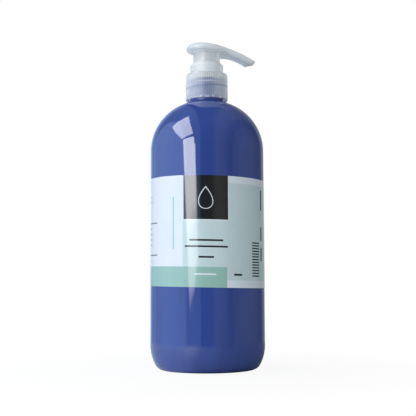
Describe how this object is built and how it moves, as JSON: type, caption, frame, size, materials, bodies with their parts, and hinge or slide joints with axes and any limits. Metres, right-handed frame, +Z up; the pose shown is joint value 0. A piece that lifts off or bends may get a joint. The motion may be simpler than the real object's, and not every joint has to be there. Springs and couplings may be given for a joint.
{
  "type": "pump oil bottle",
  "caption": "Round blue plastic bottle for massage oil with a wrap-around label and a screw-on hand pump: press-down head with a drooping spout, return spring, ball valve and dip tube.",
  "frame": {"origin": "centre of the base, in the plane that the bottle stands on", "axes": "+Z up along the bottle, +X along the spout, -Y out of the label's front"},
  "size_m": [0.0862, 0.0861, 0.2482],
  "materials": {
    "bottle_plastic": "glossy deep blue blown plastic",
    "label_film": "satin printed sleeve in white, mint and black fields",
    "natural_plastic": "milky natural polypropylene",
    "piston_plastic": "soft white polyethylene",
    "spring_steel": "stainless wire",
    "ball_steel": "polished stainless ball",
    "tube_plastic": "translucent polyethylene tube",
    "gasket_foam": "white foam ring"
  },
  "bodies": {
    "bottle": {"bottle": "bottle_plastic", "label": "label_film"},
    "pump_unit": {"housing": "natural_plastic", "chaplet": "natural_plastic", "gasket": "gasket_foam", "dip_tube": "tube_plastic", "spring": "spring_steel"},
    "closure": {"closure": "natural_plastic"},
    "stem": {"stem": "natural_plastic", "piston_core": "natural_plastic"},
    "piston": {"piston": "piston_plastic"},
    "head": {"actuator": "natural_plastic"},
    "inlet_ball": {"inlet_ball": "ball_steel"}
  },
  "joints": [
    {"name": "pump_lift", "type": "slide", "parent": "bottle", "child": "pump_unit", "axis": [0, 0, 1], "range_m": [0, 0.00847]},
    {"name": "closure_turn", "type": "hinge", "parent": "pump_unit", "child": "closure", "pos_m": [0, 0, 0.21], "axis": [0, 0, 1], "range_deg": [0, 723]},
    {"name": "pump_stroke", "type": "slide", "parent": "pump_unit", "child": "stem", "axis": [0, 0, 1], "range_m": [0, 0.016], "stiffness_N_per_m": 350, "springref_m": 0.022, "deforming": ["spring"]},
    {"name": "valve_shift", "type": "slide", "parent": "stem", "child": "piston", "axis": [0, 0, 1], "range_m": [0, 0.0012]},
    {"name": "head_swivel", "type": "hinge", "parent": "stem", "child": "head", "pos_m": [0, 0, 0.235], "axis": [0, 0, 1], "continuous": true},
    {"name": "ball_lift", "type": "slide", "parent": "pump_unit", "child": "inlet_ball", "axis": [0, 0, 1], "range_m": [0, 0.0012]}
  ],
  "couplings": [
    {"joint": "closure_turn", "follows": "pump_lift", "rad_per_m": 1484.3}
  ]
}
